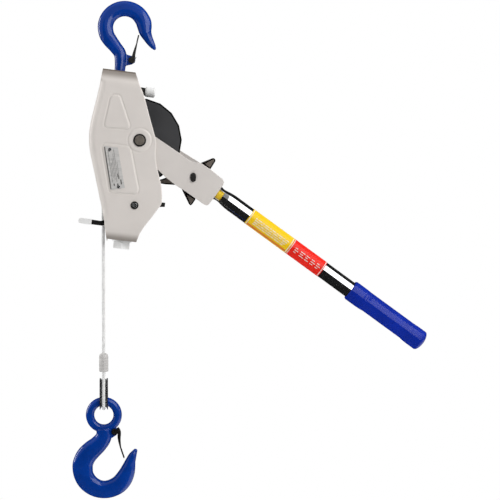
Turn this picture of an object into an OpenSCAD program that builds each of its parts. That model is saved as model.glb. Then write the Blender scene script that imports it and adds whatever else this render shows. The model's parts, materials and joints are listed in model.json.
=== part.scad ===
// Come-along winch: a ratchet cable puller hanging from its anchor hook.
// The origin is the saddle of the anchor hook. +Z is up, +X is towards the handle, +Y is the far side.
// Frame pieces are drawn about the drum shaft in upright axes, then leaned; the handle has axes of its own.

/* [Stance] */
// Lean of the frame out of plumb, degrees
lean = 7; // [5:0.5:9]
// Slope of the yoke below horizontal, degrees
handle_drop = 35.5; // [34:0.5:37]

/* [Frame] */
// Width over the outside of the two frame plates
frame_w = 43.2; // [43:0.1:44]
// Thickness of a frame plate
plate_t = 3; // [2.5:0.1:3]
// Height of the anchor hook's bowl centre over the drum shaft
hook_rise = 130; // [129:1:134]
// Distance from the drum shaft to the anchor hook's line
hook_offset = 33.4; // [33:0.1:34]

/* [Drum] */
// Radius of the rope's centreline on the outermost layer
wrap_r = 43.8; // [43:0.1:44]
// Diameter of the wire rope
rope_d = 4; // [3.8:0.1:4]
// Corner radius of the eighteen-sided near flange
flange_r = 50; // [49.6:0.1:51]
// Radius of the drum shaft
shaft_r = 8; // [7:0.1:8]

/* [Handle] */
// Radius of the handle tube
tube_r = 10; // [9.8:0.1:10]
// Length of the tube from its mouth to the end of the grip
handle_len = 308; // [290:1:320]
// Length of the grip
grip_len = 109; // [100:1:112]
// Radius of the grip at its ends
grip_r = 12.7; // [12:0.1:13]

/* [Load end] */
// Depth of the ferrule's top below the anchor hook's saddle
ferrule_drop = 402; // [380:1:420]
// Length of the ferrule
ferrule_len = 22; // [20:1:24]

/* [Hidden] */
$fn = 48;
clear = 0.05;
bowl_r = 14.2;
inner_y = frame_w / 2 - plate_t;
shaft_x = hook_offset * cos(lean) - hook_rise * sin(lean);
shaft_z = -bowl_r - hook_offset * sin(lean) - hook_rise * cos(lean);

// Y stack, measured from the middle plane
spool_y = 10;
wheel_y = 14;
hub_r = 22;
bush_r = 10;
rivet_r = 2.5;
rivets = [for (k = [0:3]) polar(16, 45 + 90 * k)];
rope_screw = polar(35, 200);
rope_screw_r = 2.5;
shaft_end_r = 5.8;
shaft_clip_r = 7.6;
pin_clip_r = 4.7;
clip_t = 1.1;
yoke_in = 14.8;
yoke_out = 17.8;

// Ratchet wheel, and the holding pawl's catch on it
teeth = 18;
pitch = 360 / teeth;
tip_r = 49;
root_r = 45.6;
tooth_phase = -(handle_drop + 40);
catch_a = tooth_phase + 8 * pitch + lean;

// Frame features
crease_top = 66;
crease_low = -110;
top_z = 79;
low_z = -120.6;
bend = 27;
hold_pin = [-21, 55.5];
hold_pin_r = 2.5;
trip_pin = [3.1, -77.2];
trip_pin_r = 3;
dowels = [[-45, 70.5], [-23.6, 70.5]];
dowel_r = 2.5;
dowel_y = 17.8;
anchor_x = -hook_offset;
bolt_x = -6.8;
bolt_r = 6;
boss_r = 13.8;
pad_lift = 0.7;
data_plate_t = 0.6;
data_plate_fixings = [[-33.6, -15], [-18.2, -57.6]];
data_pin_r = 1.1;
shank_r = 6.3;
nut_r = 8.9;

// Handle features
pawl_pin = [77, 1];
pawl_pin_r = 3.3;
tube_at = [111, 2.8];
tube_dip = 0.65;
wall = 1.2;
band_t = 0.3;
yellow_from = 48;
yellow_to = 109;
red_to = 157;

// Rope and load end
rope_r = rope_d / 2;
rope_x = shaft_x - wrap_r;
cord_route = [
    [-26.5, 0, -148], [-26.5, 0, -170], [-26.5, 0, -195], [-26.5, 0, -220], [-26.5, 0, -245],
    [-26.5, 0, -270], [-26.5, 0, -295], [-26.5, 0, -320], [-26.5, 0, -345], [-26.5, 0, -370],
    [-26.5, 0, -385], [-26.5, 0, -402]
];
thimble_z = -458.7;
thimble_r = 6.5;
eye_r = thimble_r + 1.2 + rope_r;
leg_top = -ferrule_drop - ferrule_len - thimble_z;
leg_y = 2.2;
leg_d = norm([leg_y, leg_top]);
leg_tilt = asin(eye_r / leg_d) - atan(leg_y / leg_top);
leg_len = sqrt(leg_d * leg_d - eye_r * eye_r);
eye_z = -476.2;
ring_r = 16.5;
ring_bar = 5.1;
load_latch_pin = [13, -20];
anchor_latch_pin = [12.7, -36.5];
latch_pin_r = 2;

// ---- shared helpers ----

function polar(r, a) = [r * cos(a), r * sin(a)];

// Points of a smooth curve through a list, with n steps between two of them
function curve_at(p, i, t) =
    let (a = p[max(i - 1, 0)], b = p[i], c = p[i + 1], d = p[min(i + 2, len(p) - 1)])
    0.5 * (2 * b + (c - a) * t + (2 * a - 5 * b + 4 * c - d) * t * t
        + (3 * b - a - 3 * c + d) * t * t * t);
function curve(p, n) = concat(
    [for (i = [0:len(p) - 2], j = [0:n - 1]) curve_at(p, i, j / n)],
    [p[len(p) - 1]]
);

// A slab of a profile in the XZ plane, between two depths
module slab(y0, y1) {
    translate([0, y1, 0])
        rotate([90, 0, 0])
            linear_extrude(y1 - y0)
                children();
}

// A round rod along Y at a point of the XZ plane
module rod(p, r, y0, y1) {
    translate([p[0], y1, p[1]])
        rotate([90, 0, 0])
            cylinder(r = r, h = y1 - y0);
}

// A flat ring around a rod along Y
module ring(p, r_in, r_out, y0, y1) {
    difference() {
        rod(p, r_out, y0, y1);
        rod(p, r_in, y0 - 1, y1 + 1);
    }
}

// Axes of the frame, of the handle's yoke, of its tube, of the drum and of the two hooks
module in_frame() {
    translate([shaft_x, 0, shaft_z]) rotate([0, lean, 0]) children();
}
module in_yoke() {
    translate([shaft_x, 0, shaft_z]) rotate([0, handle_drop, 0]) children();
}
module in_tube() {
    in_yoke()
        translate([tube_at[0], 0, tube_at[1]])
            rotate([0, tube_dip, 0])
                children();
}
module in_drum() {
    translate([shaft_x, 0, shaft_z]) children();
}
module in_anchor() {
    in_frame() translate([anchor_x, 0, hook_rise]) children();
}
module in_load() {
    translate([rope_x, 0, eye_z]) children();
}

// A solid of revolution about X, from a profile of [x, radius] pairs
module turned(profile) {
    rotate([0, 90, 0])
        rotate_extrude()
            polygon([for (p = profile) [p[1], p[0]]]);
}

// A round-edged bar swept along [x, z, half width] points, flattened to a greatest half thickness
module forging(line, steps, thick, sides = 16) {
    p = curve(line, steps);
    n = len(p);
    rings = [for (i = [0:n - 1])
        let (a = p[max(i - 1, 0)], b = p[min(i + 1, n - 1)],
            d = [b[0] - a[0], b[1] - a[1]] / norm([b[0] - a[0], b[1] - a[1]]),
            w = p[i][2], t = min(w, thick))
        [for (k = [0:sides - 1])
            let (u = w * cos(360 * k / sides), v = t * sin(360 * k / sides))
            [p[i][0] - d[1] * u, v, p[i][1] + d[0] * u]]];
    points = [for (r = rings, q = r) q];
    walls = [for (i = [0:n - 2], k = [0:sides - 1])
        let (m = (k + 1) % sides)
        [i * sides + k, i * sides + m, (i + 1) * sides + m, (i + 1) * sides + k]];
    start = [for (k = [sides - 1:-1:0]) k];
    finish = [for (k = [0:sides - 1]) (n - 1) * sides + k];
    polyhedron(points, concat(walls, [start, finish]), convexity = 8);
}

// A coil spring's envelope about a pin, with one straight leg
module coil(p, r_in, r_out, y0, y1, leg, a) {
    ring(p, r_in, r_out, y0, y1);
    translate([p[0], 0, p[1]])
        rotate([0, -a, 0])
            translate([0, y1 - 1.2, -r_out - 0.2])
                cube([leg, 1.2, 1.2]);
}

// A spring-plate latch: two cheeks about the pin, and a spine out to the hook's point
module latch_plate(p, spine, cheek) {
    difference() {
        union() {
            slab(-4.6, 4.6) polygon(spine);
            slab(3.4, 4.6) polygon(cheek);
            slab(-4.6, -3.4) polygon(cheek);
        }
        rod(p, latch_pin_r + clear, -6, 6);
    }
}

// ---- anchor hook ----

anchor_line = concat(
    [[0, -50, 6.3], [-0.4, -42, 6.6], [-2, -31, 7.4], [-8.3, -23.6, 7.7], [-15.1, -16.9, 8.6],
     [-20.5, -10, 9], [-23.2, 0, 9.2]],
    [for (a = [155:-25:30]) concat(polar(23.4, a), [9.2])],
    [[22.6, 6, 8.9], [24.6, -1, 7.5], [28, -7, 5.8], [32, -12.5, 4.6], [35.6, -16.8, 3.4],
     [37.8, -19.4, 2]]
);

module anchor_hook() {
    color("royalblue")
        in_anchor()
            difference() {
                union() {
                    forging(anchor_line, 3, 7.2);
                    translate([0, 0, -87]) cylinder(r = shank_r, h = 40);
                    slab(-3, 3)
                        polygon([[0, -29], [8, -31], [14, -31.8], [17, -35], [16.6, -39],
                            [13, -41.6], [6, -44], [0, -44]]);
                }
                rod(anchor_latch_pin, latch_pin_r, -8, 8);
            }
}

module anchor_latch_pin() {
    color("dimgray")
        in_anchor() {
            rod(anchor_latch_pin, latch_pin_r, -5.6, 8.2);
            ring(anchor_latch_pin, latch_pin_r, 3.2, -5.8, -4.9);
            ring(anchor_latch_pin, latch_pin_r, 3.2, 7.4, 8.4);
        }
}

module anchor_latch() {
    color("dimgray")
        in_anchor()
            latch_plate(
                anchor_latch_pin,
                [[14.2, -30.4], [16.3, -30.9], [18.4, -6.2], [16.5, -5.6]],
                [[9.4, -37.5], [11, -40], [14.4, -40], [16.4, -37.5], [16.7, -28], [14.2, -28],
                 [13, -33], [10.2, -34]]
            );
}

module anchor_latch_spring() {
    color("silver")
        in_anchor()
            coil(anchor_latch_pin, latch_pin_r + 0.2, 3.1, 4.9, 7.2, 8, 78);
}

module anchor_shank_nut() {
    color("dimgray")
        in_anchor()
            translate([0, 0, -84])
                difference() {
                    rotate([0, 0, 30]) cylinder(r = nut_r, h = 13, $fn = 6);
                    translate([0, 0, -1]) cylinder(r = shank_r, h = 15);
                }
}

module thrust_washer() {
    color("peru")
        in_anchor()
            translate([0, 0, -71])
                difference() {
                    cylinder(r = nut_r, h = 2.6);
                    translate([0, 0, -1]) cylinder(r = shank_r, h = 5);
                }
}

// ---- frame ----

left_edge = [[-54.2, 66], [-56, 48], [-58.4, 30], [-60.2, 14], [-60.5, 2], [-59, -11], [-56.6, -21],
    [-53.4, -31], [-48.6, -45], [-43.5, -60], [-39.6, -72], [-35.7, -83], [-31.5, -96], [-27.5, -110]];
right_edge = [[13.2, -110], [18.8, -99], [24.5, -90], [31, -78.5], [34, -73.5], [34.7, -68],
    [33.4, -58], [31.1, -48], [27.5, -38.5], [23.5, -27], [20.8, -15], [20, -3], [18.1, 5],
    [9.2, 27], [-0.8, 52], [-8.3, 66]];
rim_depth = 9;
upper_pad = [[-43.2, 15], [-39.8, 46], [-37.4, 48.8], [-31.4, 49.4], [-29, 48], [-14, 16],
    [-14.5, 13], [-17, 11.6], [-40, 10.4], [-42.6, 11.6]];
lower_pad = [[-42.8, -14], [-40.8, -9.8], [-38, -9], [-13.4, -9], [-9.4, -11.4], [5.4, -58],
    [4.4, -62], [1, -63.6], [-25, -65.2], [-28, -64]];

// The plate's cross-section in the YZ plane: flat, and bent in at both ends
module plate_section() {
    y1 = frame_w / 2;
    half = plate_t * tan(bend / 2);
    in_y = plate_t * cos(bend);
    in_z = plate_t * sin(bend);
    top_y = y1 - (top_z - crease_top) * tan(bend);
    low_y = y1 - (crease_low - low_z) * tan(bend);
    polygon([[y1, crease_low], [y1, crease_top], [top_y, top_z], [top_y - in_y, top_z - in_z],
        [inner_y, crease_top - half], [inner_y, crease_low + half],
        [low_y - in_y, low_z + in_z], [low_y, low_z]]);
}

module frame_plate_far() {
    y1 = frame_w / 2;
    in_frame()
        difference() {
            union() {
                intersection() {
                    translate([-70, 0, 0])
                        rotate([90, 0, 90])
                            linear_extrude(120)
                                plate_section();
                    slab(0, y1 + 1)
                        polygon(concat(left_edge, [[-27, -112], [-24.8, -122], [10.2, -122], [12.8, -112]],
                            right_edge, [[-8.9, 67.4], [-14.4, 80], [-53.2, 80], [-53.8, 70]]));
                }
                slab(inner_y - rim_depth, inner_y + 1)
                    polygon(concat([for (i = [1:11]) left_edge[i]],
                        [for (i = [11:-1:1]) left_edge[i] + [plate_t, 0]]));
                slab(y1 - 1, y1 + pad_lift) polygon(upper_pad);
                slab(y1 - 1, y1 + pad_lift) polygon(lower_pad);
                rod([0, 0], boss_r, y1 - 1, y1 + 0.6);
            }
            rod([0, 0], shaft_end_r, inner_y - 20, y1 + 5);
            rod(trip_pin, trip_pin_r, inner_y - 20, y1 + 5);
            rod(hold_pin, hold_pin_r, inner_y - 1, inner_y + 1);
            for (p = dowels) rod(p, dowel_r, 0, dowel_y);
        }
}

module far_frame_plate() {
    color("lightgray") frame_plate_far();
}

module near_frame_plate() {
    color("lightgray") mirror([0, 1, 0]) frame_plate_far();
}

module top_block() {
    color("gray")
        in_frame()
            difference() {
                translate([-49, 0, 0])
                    rotate([90, 0, 90])
                        linear_extrude(29)
                            polygon([[-18.4, 63], [18.4, 63], [18.4, 65.4], [12.2, 77.4],
                                [-12.2, 77.4], [-18.4, 65.4]]);
                translate([anchor_x, 0, 50]) cylinder(r = shank_r + 0.1, h = 40);
                for (p = dowels) rod(p, dowel_r, -30, 30);
            }
}

module top_dowels() {
    color("gray") in_frame() for (p = dowels) rod(p, dowel_r, -dowel_y, dowel_y);
}

module bottom_block() {
    color("gray")
        in_frame()
            difference() {
                translate([-18, 0, 0])
                    rotate([90, 0, 90])
                        linear_extrude(27)
                            polygon([[-13.4, -119.4], [13.4, -119.4], [17.8, -110.6], [17.8, -107],
                                [-17.8, -107], [-17.8, -110.6]]);
                translate([bolt_x, 0, -130]) cylinder(r = bolt_r, h = 40);
            }
}

module bottom_bolt() {
    color("silver")
        in_frame()
            translate([bolt_x, 0, 0]) {
                translate([0, 0, -125]) cylinder(r = bolt_r, h = 17.5);
                translate([0, 0, -131]) rotate([0, 0, 30]) cylinder(r = 11, h = 8.4, $fn = 6);
            }
}

module bottom_washer() {
    color("silver")
        in_frame()
            translate([bolt_x, 0, -122.5])
                difference() {
                    cylinder(r = 11.6, h = 1.7);
                    translate([0, 0, -1]) cylinder(r = bolt_r, h = 5);
                }
}

module drum_shaft() {
    color("silver")
        in_frame() {
            rod([0, 0], shaft_r, -inner_y, inner_y);
            rod([0, 0], shaft_end_r, -frame_w / 2 - 2, frame_w / 2 + 2);
        }
}

module shaft_clips() {
    y = frame_w / 2 + 0.6;
    color("dimgray")
        in_frame() {
            ring([0, 0], shaft_end_r, shaft_clip_r, y, y + clip_t);
            ring([0, 0], shaft_end_r, shaft_clip_r, -y - clip_t, -y);
        }
}

module data_plate() {
    y = -frame_w / 2 - pad_lift;
    color("silver")
        in_frame()
            difference() {
                slab(y - data_plate_t, y) polygon([[-41, -12], [-24.5, -11.6], [-10.6, -58], [-27, -62.4]]);
                for (p = data_plate_fixings) rod(p, data_pin_r, y - 2, y + 1);
            }
}

module data_plate_pins() {
    y = -frame_w / 2 - pad_lift;
    color("gray")
        in_frame()
            for (p = data_plate_fixings) {
                rod(p, data_pin_r, y - data_plate_t, y);
                rod(p, 1.9, y - 1.1, y - data_plate_t);
            }
}

module holding_pawl_pin() {
    color("silver") in_frame() rod(hold_pin, hold_pin_r, -inner_y - 0.9, inner_y + 0.9);
}

module trip_lever_pin() {
    color("silver") in_frame() rod(trip_pin, trip_pin_r, -frame_w / 2 - 1.8, frame_w / 2 + 1.8);
}

module trip_pin_clips() {
    y = frame_w / 2;
    color("dimgray")
        in_frame() {
            ring(trip_pin, trip_pin_r, pin_clip_r, y, y + clip_t);
            ring(trip_pin, trip_pin_r, pin_clip_r, -y - clip_t, -y);
        }
}

// ---- holding pawl, on the frame ----

module holding_pawl() {
    arm = concat(
        [[-21, 50.2], [-21, 60.8], [-8, 63.6], [-0.4, 62.6], [-0.4, 54.6]],
        [polar(52.6, catch_a), polar(49.4, catch_a + 1.5), polar(50.6, catch_a + 6)],
        [[-14, 50.6]]
    );
    bridge = [[-5, 56], [-5, 63], [-0.4, 62.6], [-0.4, 55]];
    color("dimgray")
        in_frame()
            difference() {
                union() {
                    slab(10.2, 14) polygon(arm);
                    rod(hold_pin, 5.3, 10.2, 17.8);
                    slab(-1.5, 11) polygon(bridge);
                }
                rod(hold_pin, hold_pin_r + clear, 0, 20);
            }
}

module release_knob() {
    color("whitesmoke")
        in_frame()
            translate([-0.4, 3.6, 58.4])
                turned([[0, 0], [0, 5], [0.6, 5.6], [1.8, 6], [10, 6], [11.4, 5.2], [11.8, 4.4],
                    [11.8, 0]]);
}

module holding_pawl_spring() {
    color("silver") in_frame() coil(hold_pin, hold_pin_r + 0.2, 4.4, 4.6, 9.8, 9, 0);
}

// ---- trip lever, on the frame ----

module trip_lever() {
    arm = [[-45, -100.4], [-34, -100.6], [-16, -91.5], [-4, -80], [-2.4, -73], [3, -70.6],
        [9, -72], [20, -74], [33, -70.2], [39, -70], [39, -75], [34, -75.6], [20, -80.5],
        [9, -83.5], [0, -87], [-14, -97], [-32, -106], [-45, -106]];
    color("dimgray")
        in_frame()
            difference() {
                union() {
                    slab(-13, -10) polygon(arm);
                    rod(trip_pin, 6, -18, -10);
                }
                rod(trip_pin, trip_pin_r + clear, -20, 0);
            }
}

module trip_lever_tip() {
    color("whitesmoke")
        in_frame()
            slab(-17, -6)
                polygon([[-60.6, -101.2], [-59, -100.2], [-45, -100], [-45, -106.4], [-59.4, -106],
                    [-60.6, -104.8]]);
}

module trip_lever_spring() {
    color("silver") in_frame() coil(trip_pin, trip_pin_r + 0.2, 5, -9.7, 0, 11, 200);
}

// ---- drum ----

module drum_spool() {
    color("dimgray")
        in_drum()
            difference() {
                union() {
                    slab(-wheel_y, -spool_y)
                        polygon([for (k = [0:teeth - 1]) polar(flange_r, 0.5 + k * pitch)]);
                    rod([0, 0], hub_r, -spool_y, spool_y);
                }
                rod([0, 0], bush_r, -20, 20);
                for (p = rivets) rod(p, rivet_r, -20, 20);
                rod(rope_screw, rope_screw_r, -20, 0);
            }
}

module ratchet_wheel() {
    color("dimgray")
        in_drum()
            difference() {
                slab(spool_y, wheel_y)
                    polygon([for (k = [0:teeth - 1], s = [0:1])
                        s == 0 ? polar(root_r, tooth_phase + k * pitch + 0.6)
                               : polar(tip_r, tooth_phase + (k + 1) * pitch)]);
                rod([0, 0], bush_r, 0, 20);
                for (p = rivets) rod(p, rivet_r, 0, 20);
            }
}

module ratchet_rivets() {
    color("gray") in_drum() for (p = rivets) rod(p, rivet_r, -wheel_y, wheel_y);
}

module drum_bush() {
    color("peru") in_drum() ring([0, 0], shaft_r + clear, bush_r, -wheel_y, wheel_y);
}

// The outermost layer covers the far part of the width, and the free rope leaves beside it
module rope_winding() {
    under_r = wrap_r - rope_r - 0.4;
    color("silver")
        in_drum() {
            ring([0, 0], hub_r, under_r, -spool_y, spool_y);
            ring([0, 0], hub_r, wrap_r + rope_r, rope_r + 0.4, spool_y);
        }
}

module rope_anchor_screw() {
    color("silver")
        in_drum() {
            rod(rope_screw, rope_screw_r, -wheel_y, -spool_y);
            rod(rope_screw, 4, -wheel_y - 0.5, -wheel_y);
        }
}

// ---- handle ----

yoke_near = [[0, -14.5], [20, -15], [35.4, -15.8], [53, -18.2], [66, -18.7], [77, -18], [96, -17.8],
    [107, -17.8], [110, -16.6], [111, -13.5], [111.4, 14], [110.4, 17.6], [107, 19.6], [89, 20.7],
    [75, 20.2], [69.5, 17.4], [64, 15.2], [56, 14.8], [46, 15], [15, 14.2], [0, 14.5]];
yoke_far = [[0, -14.5], [20, -15], [35.4, -15.8], [53, -18.2], [66, -18.7], [77, -18], [96, -17.8],
    [107, -17.8], [110, -16.6], [111, -13.5], [111.4, 14], [110.4, 17.6], [107, 19.6], [89, 20.7],
    [73, 20.2], [46, 18.6], [20, 16.8], [0, 14.5]];

module yoke_plate(outline) {
    difference() {
        union() {
            slab(yoke_in, yoke_out) polygon(outline);
            rod([0, 0], 16, yoke_in, yoke_out);
        }
        rod([0, 0], shaft_r + clear, 0, 30);
        rod(pawl_pin, pawl_pin_r, 0, 30);
    }
}

module far_yoke_plate() {
    color("silver") in_yoke() yoke_plate(yoke_far);
}

module near_yoke_plate() {
    color("silver") in_yoke() mirror([0, 1, 0]) yoke_plate(yoke_near);
}

module yoke_socket() {
    color("gray") {
        in_yoke() translate([101.5, -yoke_in, -8]) cube([8.5, 2 * yoke_in, 20]);
        in_tube() turned([[-5, 0], [-5, 5.5], [24, 5.5], [26, 8.5], [60, 8.5], [60, 0]]);
    }
}

module socket_bush() {
    color("gold") in_tube() turned([[-0.6, 5.5], [-0.6, 6.9], [10, 6.9], [10, 5.5]]);
}

module handle_tube() {
    color("whitesmoke")
        in_tube()
            difference() {
                turned([[0, 8.2], [0, 9.4], [4, 8.3], [8, 8.3], [15, 9.5], [22, tube_r],
                    [handle_len - 6, tube_r], [handle_len - 6, tube_r - wall], [22, tube_r - wall],
                    [15, 8.3], [8, 7], [4, 7]]);
                translate([-1, -12, -6.6]) cube([9.6, 12, 11.6]);
            }
}

module band(x0, x1) {
    in_tube() turned([[x0, tube_r], [x0, tube_r + band_t], [x1, tube_r + band_t], [x1, tube_r]]);
}

module yellow_band() {
    color("gold") band(yellow_from, yellow_to);
}

module red_band() {
    color("red") band(yellow_to, red_to);
}

module grip() {
    x0 = handle_len - grip_len;
    waist_r = grip_r - 0.4;
    color("mediumblue")
        in_tube()
            turned([[x0, tube_r], [x0, grip_r - 0.6], [x0 + 1, grip_r], [x0 + 20, grip_r],
                [x0 + 22, waist_r], [handle_len - 20, waist_r], [handle_len - 18, grip_r],
                [handle_len - 4, grip_r], [handle_len - 1.2, grip_r - 1.2], [handle_len, 8],
                [handle_len, 0], [handle_len - 6, 0], [handle_len - 6, tube_r]]);
}

module operating_pawl_pin() {
    head_t = 1.6;
    head_reach = 2.1;
    color("black")
        in_yoke() {
            rod(pawl_pin, pawl_pin_r, -yoke_out, yoke_out);
            for (y = [-yoke_out - head_t, yoke_out])
                slab(y, y + head_t)
                    translate(pawl_pin)
                        rotate(handle_drop) {
                            square([2 * pawl_pin_r, 2 * head_reach], center = true);
                            for (s = [-1, 1]) translate([0, s * head_reach]) circle(r = pawl_pin_r);
                        }
        }
}

// ---- operating pawl, on the handle ----

pawl_nose = [polar(54, -40.5), polar(49.4, -39.5), polar(50.6, -36), polar(52, -31),
    polar(53.5, -24), polar(56, -14)];
pawl_body = concat(pawl_nose, [[62, -6], [67, 5], [73, 13], [83, 33.3], [85.1, 34.5], [87.7, 33],
    [88.5, 20.3], [86.5, 8], [87.5, -6], [94.9, -17.8], [95, -27.3], [93.1, -28.6],
    [76.8, -18.1], [70, -15.5], [65.5, -18.8], [55.3, -25.2], [49.4, -28]]);

module operating_pawl() {
    color("dimgray")
        in_yoke()
            difference() {
                union() {
                    slab(10.2, 14) polygon(pawl_body);
                    rod(pawl_pin, 8.6, -14.4, 14.4);
                    slab(-9, 11) polygon([[77, 21], [83, 33.3], [85.1, 34.5], [87.7, 33], [88.5, 20.3]]);
                    slab(-9, 11) polygon([[78.4, -19], [93.1, -28.6], [95, -27.3], [94.9, -17.8]]);
                }
                rod(pawl_pin, pawl_pin_r + clear, -20, 20);
            }
}

module operating_pawl_spring() {
    color("silver") in_yoke() coil(pawl_pin, 8.8, 10.2, -8, 6, 18, 0);
}

// ---- rope and load end ----

// A profile of [out, across] pairs carried along stations of [point, out, across]
module swept(stations, profile) {
    n = len(stations);
    m = len(profile);
    points = [for (q = stations, c = profile) q[0] + c[0] * q[1] + c[1] * q[2]];
    walls = [for (i = [0:n - 2], k = [0:m - 1])
        let (j = (k + 1) % m)
        [i * m + k, (i + 1) * m + k, (i + 1) * m + j, i * m + j]];
    start = [for (k = [0:m - 1]) k];
    finish = [for (k = [m - 1:-1:0]) (n - 1) * m + k];
    polyhedron(points, concat(walls, [start, finish]), convexity = 6);
}
function round_profile(r, sides) = [for (k = [0:sides - 1]) polar(r, 360 * k / sides)];

module rope_tail() {
    color("lightsteelblue")
        swept([for (q = curve(cord_route, 3)) [q, [1, 0, 0], [0, -1, 0]]], round_profile(rope_r, 8));
}

module ferrule() {
    color("silver")
        translate([rope_x, 0, -ferrule_drop - ferrule_len])
            rotate_extrude()
                polygon([[0, 0], [5.2, 0], [5.7, 0.8], [5.7, ferrule_len - 4],
                    [4.9, ferrule_len - 1.4], [3.2, ferrule_len], [0, ferrule_len]]);
}

// Stations down one leg of the rope eye, round its bend, and up the other leg
function eye_station(a, rise) =
    let (out = [0, cos(a), sin(a)], up = [0, -sin(a), cos(a)])
    [[rope_x, 0, thimble_z] + up * rise, out, [1, 0, 0]];
function eye_line(leg, steps) = concat(
    [eye_station(leg_tilt, leg)],
    [for (i = [0:steps]) eye_station(leg_tilt - i * (180 + 2 * leg_tilt) / steps, 0)],
    [eye_station(-180 - leg_tilt, -leg)]
);

module rope_eye() {
    color("silver")
        swept(eye_line(leg_len, 24), [for (c = round_profile(rope_r, 16)) c + [eye_r, 0]]);
}

module thimble() {
    color("lightgray")
        swept(eye_line(leg_len - 9, 24),
            [[6.5, -1.4], [6.9, -3], [8.6, -4.4], [11, -4.8], [11, -3.8], [9, -3.4],
             [7.9, -2.2], [7.7, 0], [7.9, 2.2], [9, 3.4], [11, 3.8], [11, 4.8], [8.6, 4.4],
             [6.9, 3], [6.5, 1.4]]);
}

// ---- load hook ----

load_line = [[-0.6, -19, 8.6], [-0.6, -27, 9.6], [-7, -35.6, 10.6], [-14.6, -42.2, 11.6],
    [-21.2, -49.4, 12.1], [-25.1, -57.8, 12.2], [-25.6, -64.8, 12.2], [-24.4, -72.4, 11.8],
    [-20.6, -79.5, 11.6], [-15.5, -84.6, 11.2], [-9.8, -88, 10.9], [-4, -89.8, 10.6],
    [2, -90.1, 10.6], [8, -89, 10.7], [14.8, -86, 10.8], [19.9, -82, 10.7], [24, -76.6, 10.4],
    [27.4, -70, 9.4], [29.8, -62.9, 7.9], [32, -55.4, 6], [34.6, -49, 4.6], [37.6, -43.6, 2.6]];

module load_hook() {
    color("royalblue")
        in_load()
            difference() {
                union() {
                    rotate([90, 0, 0])
                        rotate_extrude()
                            translate([ring_r, 0])
                                circle(r = ring_bar, $fn = 32);
                    forging(load_line, 2, 8);
                    slab(-3, 3)
                        polygon([[6, -14], [12, -15.6], [16.4, -17], [17.4, -20.6], [15, -24.4],
                            [9, -28], [2, -26]]);
                }
                rod(load_latch_pin, latch_pin_r, -9, 9);
            }
}

module load_latch_pin() {
    color("dimgray")
        in_load() {
            rod(load_latch_pin, latch_pin_r, -6.6, 9.2);
            ring(load_latch_pin, latch_pin_r, 3.2, -6.8, -5.9);
            ring(load_latch_pin, latch_pin_r, 3.2, 8.4, 9.4);
        }
}

module load_latch() {
    color("dimgray")
        in_load()
            latch_plate(
                load_latch_pin,
                [[15.6, -27.2], [18, -27.4], [25, -51.8], [23, -52.6]],
                [[9.6, -20], [12, -16.8], [15.6, -17.4], [17.6, -20.5], [19.4, -31], [16.6, -31],
                 [14, -24]]
            );
}

module load_latch_spring() {
    color("silver") in_load() coil(load_latch_pin, latch_pin_r + 0.2, 3.1, 5, 8.2, 9, -70);
}

// ---- the assembly ----

anchor_hook();
anchor_latch_pin();
anchor_shank_nut();
thrust_washer();
anchor_latch();
anchor_latch_spring();
near_frame_plate();
far_frame_plate();
top_block();
top_dowels();
bottom_block();
bottom_bolt();
bottom_washer();
drum_shaft();
shaft_clips();
data_plate();
data_plate_pins();
holding_pawl_pin();
trip_lever_pin();
trip_pin_clips();
holding_pawl();
release_knob();
holding_pawl_spring();
trip_lever();
trip_lever_tip();
trip_lever_spring();
drum_spool();
ratchet_wheel();
ratchet_rivets();
drum_bush();
rope_winding();
rope_anchor_screw();
near_yoke_plate();
far_yoke_plate();
yoke_socket();
socket_bush();
handle_tube();
yellow_band();
red_band();
grip();
operating_pawl_pin();
operating_pawl();
operating_pawl_spring();
rope_tail();
ferrule();
thimble();
rope_eye();
load_hook();
load_latch_pin();
load_latch();
load_latch_spring();
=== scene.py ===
import bmesh
import bpy
import json
import math
import numpy as np
from mathutils import Matrix, Vector

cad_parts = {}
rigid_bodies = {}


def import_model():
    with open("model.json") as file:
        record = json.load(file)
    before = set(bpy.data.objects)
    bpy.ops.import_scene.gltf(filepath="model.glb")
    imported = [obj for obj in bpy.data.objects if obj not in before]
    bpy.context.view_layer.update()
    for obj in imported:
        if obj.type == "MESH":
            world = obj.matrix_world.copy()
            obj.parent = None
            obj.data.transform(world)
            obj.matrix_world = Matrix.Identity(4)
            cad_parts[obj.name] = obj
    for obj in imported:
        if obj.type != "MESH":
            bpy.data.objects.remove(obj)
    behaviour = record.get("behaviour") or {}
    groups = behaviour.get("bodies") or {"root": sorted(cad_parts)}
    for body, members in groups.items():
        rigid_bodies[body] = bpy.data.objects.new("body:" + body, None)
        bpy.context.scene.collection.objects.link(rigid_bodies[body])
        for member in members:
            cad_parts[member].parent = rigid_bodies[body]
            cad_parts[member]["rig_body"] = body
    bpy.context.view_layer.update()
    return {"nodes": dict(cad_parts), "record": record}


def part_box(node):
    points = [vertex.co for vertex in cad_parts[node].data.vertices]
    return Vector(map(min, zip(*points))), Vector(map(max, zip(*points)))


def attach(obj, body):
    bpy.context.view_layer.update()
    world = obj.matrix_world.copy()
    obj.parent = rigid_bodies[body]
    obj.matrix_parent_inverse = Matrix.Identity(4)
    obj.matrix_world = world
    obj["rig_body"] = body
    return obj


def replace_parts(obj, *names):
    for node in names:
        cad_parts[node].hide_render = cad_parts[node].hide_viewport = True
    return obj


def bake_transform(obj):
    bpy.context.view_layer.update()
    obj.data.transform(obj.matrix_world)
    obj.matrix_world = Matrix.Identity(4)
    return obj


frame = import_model()
SLOT_OF = {s["node"]: s["material_slot"] for s in frame["record"]["subparts"]}

# ---- camera ----

view_centre = Vector((0.1491, 0, -0.2786))
view_width = 0.600
view_distance = 2.4
view_left = math.radians(3)
view_above = math.radians(2.7)
sensor_width = 36

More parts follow.
